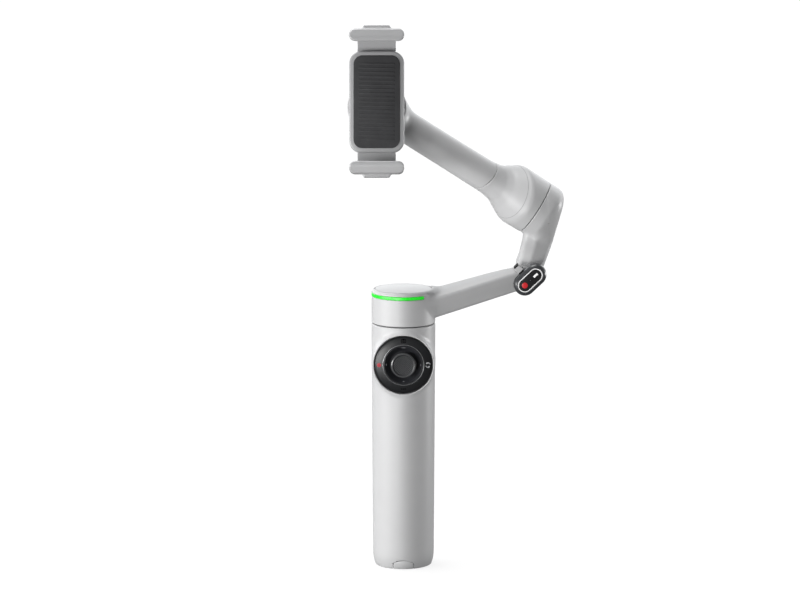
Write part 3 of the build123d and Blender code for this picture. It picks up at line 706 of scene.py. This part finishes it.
def trigger_field(p):
    """A finger lever with a hollow face, low ribs and two ears on its pin."""
    x, y, z = p.T
    face = smooth_curve(z, TRIGGER_STOPS, TRIGGER_FACE)
    ribs = np.clip(1 - np.abs(z - 117.5) / 6.5, 0, 1) ** 0.3
    face = face + 0.16 * ribs * np.cos(2 * math.pi * (z - 117.5) / 2.2) * (np.abs(x) < 4.9)
    plate = both(both(np.abs(x) - TRIGGER_X, np.abs(z - 118.3) - 10.75, 1.2), y - face, 0.6)
    plate = np.maximum(plate, 17.7 - y)
    from_pivot = np.hypot(y - TRIGGER_PIVOT[1], z - TRIGGER_PIVOT[2])
    sides = np.abs(np.abs(x) - 5.1) - 0.9
    ear = np.maximum(from_pivot - 1.9, sides)
    root = np.maximum(np.abs(y - 17.3) - 0.8, np.abs(z - TRIGGER_PIVOT[2]) - 1.7)
    form = np.minimum(plate, np.minimum(ear, np.maximum(root, sides)))
    return cut(form, from_pivot - 1.05)


skin("trigger", trigger_field, (-6.8, 14, 106), (6.8, 21.2, 130.2), 0.28,
     world, "trigger", DARK, ["trigger"])

back = Place((0, 0, POWER_Z), (0, 1, 0), (-1, 0, 0))
BUTTON_LEVELS = [(3.95, 16.3), (3.95, 18.45), (3.85, 18.68), (3.6, 18.8), (3.3, 18.75), (3.0, 18.66),
                 (1.6, 18.6), (0.2, 18.58)]
piece("power_button", layered(circle(72), BUTTON_LEVELS), back, "power_button", DARK,
      ["power_button"])
# The power mark glows a little: painted light on a printed mark.
power_mark = merged(strip(arc_band(1.35, 0.28, 125, 415, 24), 18.5, 18.68),
                    moved(strip(slab(0.28, 1.2, 0.1, 3)(0), 18.5, 18.68), y=1.25))
piece("power_mark", power_mark, back, "power_button", ICON_PAINTED_GLOW)

# ---- pan motor, its arm and the hinge ear ----
PAN_RADIUS = 18.4
PAN_LOW, PAN_TOP = 143.0, 162.7
PAN_BORE, PAN_CEILING = 16.3, 158.4
CAP_SEAT = 161.2
EAR_BACK = 3.3
KNUCKLE_FRONT = 2.75
LED_MIDDLE, LED_HALF_HEIGHT = 159.5, 0.95
LED_START, LED_END = math.radians(-105), math.radians(40.6)


def led_slot(p):
    """The light band's long slot, laid round the housing."""
    angle = np.arctan2(p[:, 0], -p[:, 1]) - (LED_START + LED_END) / 2
    angle = (angle + math.pi) % (2 * math.pi) - math.pi
    along = np.abs(angle) * PAN_RADIUS - (LED_END - LED_START) / 2 * PAN_RADIUS + LED_HALF_HEIGHT
    return np.hypot(np.maximum(along, 0), p[:, 2] - LED_MIDDLE) - LED_HALF_HEIGHT


def pan_arm_form(p):
    """The arm from the pan motor to the hinge. Its top slopes forward, and its front leans in below."""
    t = np.clip((p[:, 0] - 12.0) / 56.0, -0.2, 1.2)
    y, z = p[:, 1] - (-3.2 + 6.95 * t), p[:, 2] - (152.7 + 15.85 * t)
    half_y, half_z = 8.8 - 3.25 * t, 8.4 - 0.9 * t
    bar = rectangle(y, z, half_y, half_z, 3.6)
    steep, shallow = 0.93, 0.37
    top = steep * (z - half_z) - shallow * (y - 0.3 * half_y)
    front = -steep * (y + half_y) - shallow * (z - 0.4 * half_z)
    bar = both(both(bar, top, 1.8), front, 1.8) * 0.965
    return both(both(bar, p[:, 0] - 71.0, 2.0), 5.0 - p[:, 0], 1.0)


def stop_block(p, grow):
    """The small block at the inner corner of the fold."""
    x, y, z = np.abs(stop_place.into(p)).T
    return both(both(x - 1.9 - grow, y - 3.35 - grow, 0.4), z - 2.05 - grow, 0.4)


STOP_MIDDLE = (66.6, 1.2, 173.85)
stop_place = Place(STOP_MIDDLE, pod.axes[1], pod.axes[0])


def pan_field(p):
    """The pan motor's drum with its arm and the hinge ear, in one casting."""
    radius = np.hypot(p[:, 0], p[:, 1])
    drum = both(both(radius - PAN_RADIUS, p[:, 2] - PAN_TOP, 1.9), PAN_LOW - p[:, 2], 0.35)
    local = fold.into(p)
    form = join(drum, pan_arm_form(p), 1.2 + 3.8 * np.clip((p[:, 2] - 147.0) / 7.0, 0, 1))
    ear = both(rod(local, 6.2, EAR_BACK, 11.5, 0.8), -pod.into(p)[:, 1] - 6.0, 0.4)
    form = join(form, ear, 1.2)
    form = cut(form, rod(local, 22.0, -20.0, EAR_BACK), 0.35)
    form = cut(form, rod(p, PAN_BORE, 130, PAN_CEILING), 0.2)
    form = cut(form, rod(p, 16.42, CAP_SEAT, 170), 0.15)
    form = cut(form, np.maximum(led_slot(p), 17.2 - radius), 0.1)
    form = cut(form, rod(local, 2.5, 0, 8.0))
    form = cut(form, pod_pocket(p), 0.1)
    return cut(form, stop_block(p, 0.05), 0.15)


skin("pan_arm_housing", pan_field, (-19.5, -19.5, 142), (81.5, 19.5, 181), 0.58,
     world, "pan_head", SHELL, ["pan_arm_housing"])


def led_field(p):
    """The light band, a hair proud of the housing."""
    radius = np.hypot(p[:, 0], p[:, 1])
    return both(both(led_slot(p) + 0.06, radius - PAN_RADIUS - 0.04, 0.25), 17.3 - radius)


skin("led_band", led_field, (-19.5, -19.5, 158), (19.5, 19.5, 161), 0.33,
     world, "pan_head", LIGHT_BAND, ["led_band"])
CAP_WIDTH = 32.8
cap = layered(slab(CAP_WIDTH, CAP_WIDTH, CAP_WIDTH / 2, 24), eased(CAP_SEAT, PAN_TOP - 0.02, 0.1, 0.28))
piece("pan_cap", cap, world, "pan_head", CAP_FINISH, ["pan_cap"])


def stop_field(p):
    """The stop block, hollowed for the pod and clear of the fold."""
    form = cut(stop_block(p, 0.0), pod_pocket(p), 0.15)
    return both(form, 3.35 - fold.into(p)[:, 2], 0.1)


skin("fold_stop", stop_field, (62, -4, 169), (72, 7, 180), 0.3,
     world, "pan_head", SHELL, ["fold_stop"])
for seal_name, forward, offset in (("stop_seal_upper", 0.0, 2.35), ("stop_seal_lower", -1.6, -1.75)):
    piece(seal_name, layered(slab(3.1, 6.6, 0.5, 3), eased(-0.4, 0.4, 0.1, 0.1, 2)),
          stop_place.shifted(y=forward, z=offset), "pan_head", STOP_SEAL)

# ---- hinge pod ----
def stadium_ring(radius):
    """Rings for a slot-shaped plate: each level's first number is how far in it is."""
    return slab(POD_SPACING + 2 * radius, 2 * radius, radius, 14)


pod_levels = [(0.15, -1.0), (0.0, -0.85), (0.0, 4.6), (0.12, 4.95), (1.35, 6.1), (1.55, 6.2),
              (1.95, 6.2), (2.12, 6.1), (2.2, 5.9), (2.2, 4.7)]
piece("hinge_pod", layered(stadium_ring(6.2), pod_levels), pod, "pan_head", POD_BEZEL,
      ["hinge_pod"])
# The white trim, the red dot and the white bar glow a little: painted light, none of them is a lamp.
trim_levels = [(0.0, 5.0), (0.0, 6.27), (0.06, 6.33), (0.42, 6.33), (0.48, 6.27), (0.48, 5.0)]
piece("pod_trim", layered(stadium_ring(3.98), trim_levels, loop=True), pod, "pan_head", WHITE_PAINTED_GLOW)
pod_button = layered(stadium_ring(3.50), eased(5.2, 6.34, 0.1, 0.35))
piece("pod_button", pod_button, pod, "pod_button", POD_FACE, ["pod_button"])
dot_levels = [(1.7, 6.2), (1.7, 6.36), (1.6, 6.42), (0.9, 6.45), (0.1, 6.46)]
record_dot = moved(layered(circle(48), dot_levels), x=-POD_SPACING / 2)
piece("pod_record_dot", record_dot, pod, "pod_button", RED_PAINTED_GLOW)
white_bar = moved(layered(slab(3.1, 1.25, 0.2, 3), eased(6.2, 6.44, 0, 0.06, 2)), x=POD_SPACING / 2)
piece("pod_white_bar", white_bar, pod, "pod_button", WHITE_PAINTED_GLOW)
small_dot = layered(circle(16), [(0.2, 6.25), (0.2, 6.38)])
piece("pod_dot", small_dot, pod, "pod_button", ICON_GREY)

# ---- upper arm ----
BEAM_Z = (168.0, 174.0, 181.0, 189.0, 203.0, 213.0)
BEAM_X = (71.9, 73.45, 75.7, 78.05, 80.1, 80.3)
BEAM_Y = (14.9, 14.9, 15.8, 17.5, 19.0, 19.2)
BEAM_HALF_X = (7.7, 7.95, 8.3, 8.75, 9.0, 7.6)
BEAM_HALF_Y = (9.1, 9.1, 9.0, 8.6, 10.0, 10.5)
FACET = (-0.22, -0.975)
MOTOR_BORE = 14.6


def upper_arm_field(p):
    """The rising beam, with a ridge down its front, the fold knuckle and the tilt motor's outer cup."""
    x, y, z = p.T
    middle_x, middle_y = smooth_curve(z, BEAM_Z, BEAM_X), smooth_curve(z, BEAM_Z, BEAM_Y)
    half_x, half_y = smooth_curve(z, BEAM_Z, BEAM_HALF_X), smooth_curve(z, BEAM_Z, BEAM_HALF_Y)
    side, back = np.abs(x - middle_x) - half_x, y - middle_y - half_y
    across, deep = x - middle_x + 0.14 * half_x, y - middle_y + half_y
    flank = smooth_curve(z, (170.0, 186.0, 200.0, 214.0), (0.30, 0.30, 0.10, 0.05))
    front = both(across * FACET[0] + deep * FACET[1], across * flank - deep * 0.96, 0.5)
    beam = both(both(side, back, 3.0), front, 2.6) * 0.96
    beam = both(both(beam, 170.5 - z, 1.2), z - 214.0, 5.0)
    motor, hinge = tilt.into(p), fold.into(p)
    beam = both(beam, hinge[:, 2] - KNUCKLE_FRONT, 0.3)
    cup = rod(motor, 16.45, -11.2, 14.0, 5.5)
    blend = 1.6 + 7.0 * np.clip((x - 74.0) / 10.0, 0, 1)
    form = join(beam, cup, blend)
    form = join(form, rod(hinge, 7.35, -13.5, -1.0, 0.8), 1.0)
    form = join(form, rod(hinge, 6.1, -3.0, KNUCKLE_FRONT, 0.5), 0.5)
    form = both(form, motor[:, 2], 0.3)
    form = cut(form, rod(motor, MOTOR_BORE, -9.0, 5.0), 0.3)
    return cut(form, rod(hinge, 2.55, -12.7, 5.0))


skin("upper_arm", upper_arm_field, (62, -2, 160), (98, 38, 226), 0.55,
     world, "upper_arm", SHELL, ["upper_arm"])

# ---- tilt motor's turning half, the neck and the roll motor's housing ----
NECK_T = (0.0, 14.3, 17.5, 21.0, 24.5, 28.5, 35.5, 60.0, 120.0)
NECK_RADIUS = (25.5, 17.0, 15.2, 13.3, 11.35, 10.05, 9.35, 9.15, 9.1)
LEAN_X, LEAN_Y = 0.54, -0.11
ROLL_RADIUS = 16.96
ROLL_HALF = 11.2
NECK_SEAM = 35.0
SEAM_GAP = 0.04


def roll_arm_form(p):
    """The whole casting in the tilt motor's own frame."""
    x, y, t = p.T
    out = np.hypot(x, y)
    level = t - LEAN_X * x - LEAN_Y * y
    radius = smooth_curve(level, NECK_T, NECK_RADIUS)
    slope = (smooth_curve(level + 0.1, NECK_T, NECK_RADIUS) - radius) / 0.1
    ray = np.maximum(out, 1.0)
    steep = np.sqrt((x / ray + LEAN_X * slope) ** 2 + (y / ray + LEAN_Y * slope) ** 2 + slope * slope)
    cone = (out - radius) / steep
    turned = both(out - 16.55 - 0.02 * t, cone, 0.7)
    turned = both(both(turned, 0.3 - t, 0.3), t - 106.0, 2.0)
    motor = roll.into(tilt.out(p))
    side = np.hypot(motor[:, 0], motor[:, 1]) - ROLL_RADIUS
    drum = both(both(side, motor[:, 2] - ROLL_HALF, 0.5), -motor[:, 2] - ROLL_HALF, 2.0)
    form = join(turned, drum, 7.0)
    form = cut(form, rod(motor, 14.8, -20, 20), 0.25)
    form = cut(form, rod(p, MOTOR_BORE, -5, 8.5), 0.25)
    form = cut(form, rod(p, 6.5, 8.0, 12.5))
    return cut(form, rod(p, 5.0, 15.0, 92.0))


def seam_plane(p):
    """Negative on the motor's side of the oblique seam round the neck."""
    return (p[:, 2] - NECK_SEAM - 0.38 * p[:, 0] - 0.2 * p[:, 1]) * 0.92


def tilt_housing_field(p):
    """The motor's side of the casting."""
    return both(roll_arm_form(p), seam_plane(p) + SEAM_GAP, 0.22)


def roll_neck_field(p):
    """The rest of the casting, up to the roll motor's housing."""
    return both(roll_arm_form(p), SEAM_GAP - seam_plane(p), 0.22)


skin("tilt_housing", tilt_housing_field, (-18.5, -18.5, -0.6), (18.5, 18.5, 44), 0.5,
     tilt, "roll_arm", SHELL, ["roll_arm"])
skin("roll_neck", roll_neck_field, (-18.5, -18.5, 26), (18.5, 18.5, 128), 0.6,
     tilt, "roll_arm", SHELL, ["roll_arm"])
BACK_LEVELS = [(14.7, 4.0), (14.7, 11.0), (14.6, 11.15), (14.4, 11.2), (11.6, 11.2), (11.4, 11.05),
               (11.2, 11.05), (11.0, 11.2), (0.5, 11.2)]
roll_back = Place(roll.origin, -roll.axes[2], (1, 0, 0))
piece("roll_housing_cap", layered(circle(96), BACK_LEVELS), roll_back, "roll_arm", CAP_FINISH,
      ["roll_housing_cap"])

# ---- painted shade: dark rings in the gaps between housings, and fine moulding lines drawn in a darker grey ----
def shade_ring(name, outer, inner, low, high, place, body):
    """A thin dark ring in the gap between two housings: painted shade for the shadowed gap."""
    levels = [(inner, low), (outer, low), (outer, high), (inner, high)]
    piece(name, collar(levels, 96), place, body, GAP_SHADE)


shade_ring("pan_gap_shade", 17.5, 16.5, 142.3, 143.2, world, "rod_3")
shade_ring("tilt_gap_shade", 15.9, 14.7, -1.0, 0.22, tilt, "upper_arm")

LINE_LEVEL = 17.3
line_radius = float(smooth_curve(np.array([LINE_LEVEL]), NECK_T, NECK_RADIUS)[0])
line_section = ((-0.3, -0.3, 0), (0.09, -0.05, 0.05), (0.04, 0.09, 0.05), (-0.3, 0.1, 0))
line_levels = rounded([(line_radius + x, LINE_LEVEL + z, radius) for x, z, radius in line_section], 3)
line_points, line_faces = collar(line_levels)
line_points = [(x, y, z + LEAN_X * x + LEAN_Y * y) for x, y, z in line_points]
# The line's small relief is real; its darker grey is painted shade in the crease.
piece("tilt_moulding_line", (line_points, line_faces), tilt, "roll_arm", LINE_SHADE)

# ---- phone clamp ----
CLAMP_WIDTH, CLAMP_HEIGHT, CLAMP_CORNER = 31.5, 58.0, 7.0
cover = layered(slab(CLAMP_WIDTH, CLAMP_HEIGHT, CLAMP_CORNER), eased(20.25, 22.2, 0.15, 0.9))


def tray_field(p):
    """The tray, open inside for the two sliding plates."""
    outline = rectangle(p[:, 0], p[:, 1], CLAMP_WIDTH / 2, CLAMP_HEIGHT / 2, CLAMP_CORNER)
    form = both(outline, np.abs(p[:, 2] - 17.35) - 2.75, 0.8)
    form = cut(form, np.maximum(np.abs(p[:, 0]) - 11.4, 16.8 - p[:, 2]), 0.2)
    return cut(form, rod(p, 5.0, 15.0, 18.0))


skin("clamp_base", tray_field, (-16.8, -30, 14), (16.8, 30, 21), 0.5,
     clamp, "clamp", TRAY_METAL, ["clamp_base"])
piece("clamp_cover", cover, clamp, "clamp", TRAY_METAL, ["clamp_cover"])
PAD_WIDTH, PAD_HEIGHT = 26.5, 53.0
pad = [layered(slab(PAD_WIDTH, PAD_HEIGHT, 5.0), eased(22.2, 22.75, 0, 0.3))]
RIB_PITCH = 2.4
RIBS_EACH_WAY = 9
for i in range(-RIBS_EACH_WAY, RIBS_EACH_WAY + 1):
    pad.append(moved(layered(slab(20.5, 1.2, 0.6, 4), eased(22.6, 23.0, 0, 0.2, 2)), y=i * RIB_PITCH))
piece("clamp_pad", merged(*pad), clamp, "clamp", RUBBER, ["clamp_pad"])

PHONE_WIDTH = 76.7
SEAT = PHONE_WIDTH / 2
JAW_OUT = SEAT + 3.0
LIP_IN = SEAT - 4.3
JAW_FRONT = 33.6
PHONE_FRONT = 31.6
PLATE_HALF = 11.0
LIP_FACET = (0.339, 0.941)


def jaw_field(side, slide_low, slide_high):
    """One jaw: sliding plate, outer wall with a raised boss, and the lip over the phone's face."""
    def field(p):
        x, w, s = p[:, 0], p[:, 1] * side, p[:, 2]
        slope = LIP_FACET[0] * (w - LIP_IN - 2.6) + LIP_FACET[1] * (s - JAW_FRONT)
        outline = rectangle(x, w - (LIP_IN + JAW_OUT) / 2, CLAMP_WIDTH / 2, (JAW_OUT - LIP_IN) / 2, 3.4)
        front = both(s - JAW_FRONT, slope, 0.3)
        hook = both(both(outline, front, 0.9), slide_low - s, 0.3)
        hook = cut(hook, np.maximum(w - SEAT - 1.0, s - PHONE_FRONT), 0.3)
        flank = np.abs(x) - 8.35 + 0.55 * np.maximum(w - JAW_OUT, 0)
        boss = both(both(flank, w - JAW_OUT - 2.0, 0.5), np.abs(s - 25.2) - 5.6, 0.7)
        boss = np.maximum(boss, JAW_OUT - 1.5 - w)
        level = np.abs(s - (slide_low + slide_high) / 2) - (slide_high - slide_low) / 2
        plate = np.maximum(np.maximum(np.abs(x) - PLATE_HALF, level), np.abs(w - 10.0) - 30.0)
        return np.minimum(join(hook, boss, 0.8), both(plate, -w - 19.8, 0.2))
    return field


for jaw_name, side, low, high in (("jaw_upper", 1, 17.05, 18.25), ("jaw_lower", -1, 18.55, 19.75)):
    reach = sorted((-21.0 * side, 45.0 * side))
    skin(jaw_name, jaw_field(side, low, high), (-16.8, reach[0], 16), (16.8, reach[1], 34.5), 0.36,
         clamp, jaw_name, JAW_METAL, [jaw_name])

# ---- stowed tripod legs ----
def leg_field(p):
    """One leg, round outside to lie in the grip, with a groove inside and a finger hollow outside."""
    x, y, z = p.T
    form = both(rectangle(x - 12.9, y, 2.3, 5.0, 0.7), np.hypot(x, y) - 15.1, 0.5)
    form = both(form, np.abs(z - 26.3) - 19.2, 0.3)
    groove = np.maximum(rectangle(y, z - 28.5, 3.2, 14.5, 2.0), x - 12.2)
    outer = np.maximum(rectangle(y, z - 36.0, 2.2, 6.0, 1.0), 14.3 - x)
    return cut(cut(form, groove, 0.2), outer, 0.15)


for number, angle in enumerate(LEG_ANGLES, start=1):
    leg_name = f"tripod_leg_{number}"
    skin(leg_name, leg_field, (9.8, -5.8, 6.5), (16, 5.8, 46.3), 0.42,
         world.turned(angle), "tripod", DARK, [leg_name])

# ---- studio ----
FLOOR_HALF = 9.0


def floor():
    """A pale floor. It looks white, and throws only a little light back up."""
    mesh = bpy.data.meshes.new("floor")
    corners = [(x * FLOOR_HALF, y * FLOOR_HALF, 0) for x, y in ((-1, -1), (1, -1), (1, 1), (-1, 1))]
    mesh.from_pydata(corners, [], [(0, 1, 2, 3)])
    paper = bpy.data.materials.new("floor_paper")
    paper.use_nodes = True
    nodes, links = paper.node_tree.nodes, paper.node_tree.links
    seen = nodes["Principled BSDF"]
    seen.inputs["Base Color"].default_value = (0.22, 0.22, 0.22, 1)
    seen.inputs["Roughness"].default_value = 0.9
    seen.inputs["Specular IOR Level"].default_value = 0.0
    seen.inputs["Emission Color"].default_value = (1, 1, 1, 1)
    seen.inputs["Emission Strength"].default_value = 0.80
    thrown = nodes.new("ShaderNodeBsdfDiffuse")
    thrown.inputs["Color"].default_value = (0.16, 0.16, 0.16, 1)
    path = nodes.new("ShaderNodeLightPath")
    mix = nodes.new("ShaderNodeMixShader")
    links.new(path.outputs["Is Camera Ray"], mix.inputs["Fac"])
    links.new(thrown.outputs["BSDF"], mix.inputs[1])
    links.new(seen.outputs["BSDF"], mix.inputs[2])
    links.new(mix.outputs["Shader"], nodes["Material Output"].inputs["Surface"])
    mesh.materials.append(paper)
    thing = bpy.data.objects.new("floor", mesh)
    bpy.context.scene.collection.objects.link(thing)


def sun(name, azimuth, height, strength, spread):
    """A broad distant light. Azimuth 0 is on the camera's side and 90 on the right, as the camera sees it."""
    light = bpy.data.lights.new(name, "SUN")
    light.energy = strength
    light.angle = math.radians(spread)
    a, e = math.radians(azimuth), math.radians(height)
    toward = Vector((math.sin(a) * math.cos(e), -math.cos(a) * math.cos(e), math.sin(e)))
    thing = bpy.data.objects.new(name, light)
    thing.rotation_euler = toward.to_track_quat("Z", "Y").to_euler()
    bpy.context.scene.collection.objects.link(thing)


def softbox(name, azimuth, height, distance, size, power):
    """A rectangular light that stands round the object and faces it."""
    light = bpy.data.lights.new(name, "AREA")
    light.shape = "RECTANGLE"
    light.size, light.size_y = size
    light.energy = power
    a = math.radians(azimuth)
    toward = Vector((math.sin(a), -math.cos(a), 0))
    thing = bpy.data.objects.new(name, light)
    thing.location = toward * distance + Vector((0, 0, height))
    thing.rotation_euler = toward.to_track_quat("Z", "Y").to_euler()
    thing.visible_camera = False
    bpy.context.scene.collection.objects.link(thing)


def sky():
    """Plain white to look at. The object itself sees a white wall behind it and a dim room in front."""
    world_data = bpy.data.worlds.new("studio")
    bpy.context.scene.world = world_data
    world_data.use_nodes = True
    nodes, links = world_data.node_tree.nodes, world_data.node_tree.links
    seen = nodes["Background"]
    seen.inputs["Color"].default_value = (1, 1, 1, 1)
    seen.inputs["Strength"].default_value = 1.0
    where = nodes.new("ShaderNodeTexCoord")
    part = nodes.new("ShaderNodeSeparateXYZ")
    links.new(where.outputs["Generated"], part.inputs["Vector"])
    wall = nodes.new("ShaderNodeMapRange")
    wall.interpolation_type = "SMOOTHSTEP"
    wall.inputs["From Min"].default_value = -0.05
    wall.inputs["From Max"].default_value = 0.55
    wall.inputs["To Min"].default_value = 0.15
    wall.inputs["To Max"].default_value = 0.95
    links.new(part.outputs["Y"], wall.inputs["Value"])
    lit = nodes.new("ShaderNodeBackground")
    lit.inputs["Color"].default_value = (0.97, 0.985, 1.0, 1)
    path = nodes.new("ShaderNodeLightPath")
    mirrored = nodes.new("ShaderNodeMath")
    mirrored.operation = "MULTIPLY_ADD"
    mirrored.inputs[1].default_value = 0.9
    mirrored.inputs[2].default_value = 1.0
    links.new(path.outputs["Is Glossy Ray"], mirrored.inputs[0])
    level = nodes.new("ShaderNodeMath")
    level.operation = "MULTIPLY"
    links.new(wall.outputs["Result"], level.inputs[0])
    links.new(mirrored.outputs["Value"], level.inputs[1])
    links.new(level.outputs["Value"], lit.inputs["Strength"])
    mix = nodes.new("ShaderNodeMixShader")
    links.new(path.outputs["Is Camera Ray"], mix.inputs["Fac"])
    links.new(lit.outputs["Background"], mix.inputs[1])
    links.new(seen.outputs["Background"], mix.inputs[2])
    links.new(mix.outputs["Shader"], nodes["World Output"].inputs["Surface"])


floor()
sky()
softbox("key_left", -62, 0.15, 1.15, (0.9, 0.29), 12.5)
softbox("fill_front", -24, 0.14, 1.6, (0.5, 0.2), 3.0)
softbox("ring_sheen", -23, 0.075, 0.55, (0.24, 0.14), 0.85)
sun("top", -110, 72, 2.3, 40)
softbox("rim_right", 105, 0.15, 1.2, (0.5, 0.29), 8)

# ---- camera ----
TARGET = (-0.002, 0.0, 0.1558)
DISTANCE = 2.4
ELEVATION = math.radians(10)
camera_data = bpy.data.cameras.new("camera")
camera_data.lens = 187.0
camera_data.sensor_width = 36.0
camera = bpy.data.objects.new("camera", camera_data)
back_off, rise = DISTANCE * math.cos(ELEVATION), DISTANCE * math.sin(ELEVATION)
camera.location = (TARGET[0], TARGET[1] - back_off, TARGET[2] + rise)
camera.rotation_euler = (math.pi / 2 - ELEVATION, 0, 0)
bpy.context.scene.collection.objects.link(camera)
bpy.context.scene.camera = camera
bpy.context.scene.view_settings.view_transform = "Standard"

bpy.context.view_layer.update()
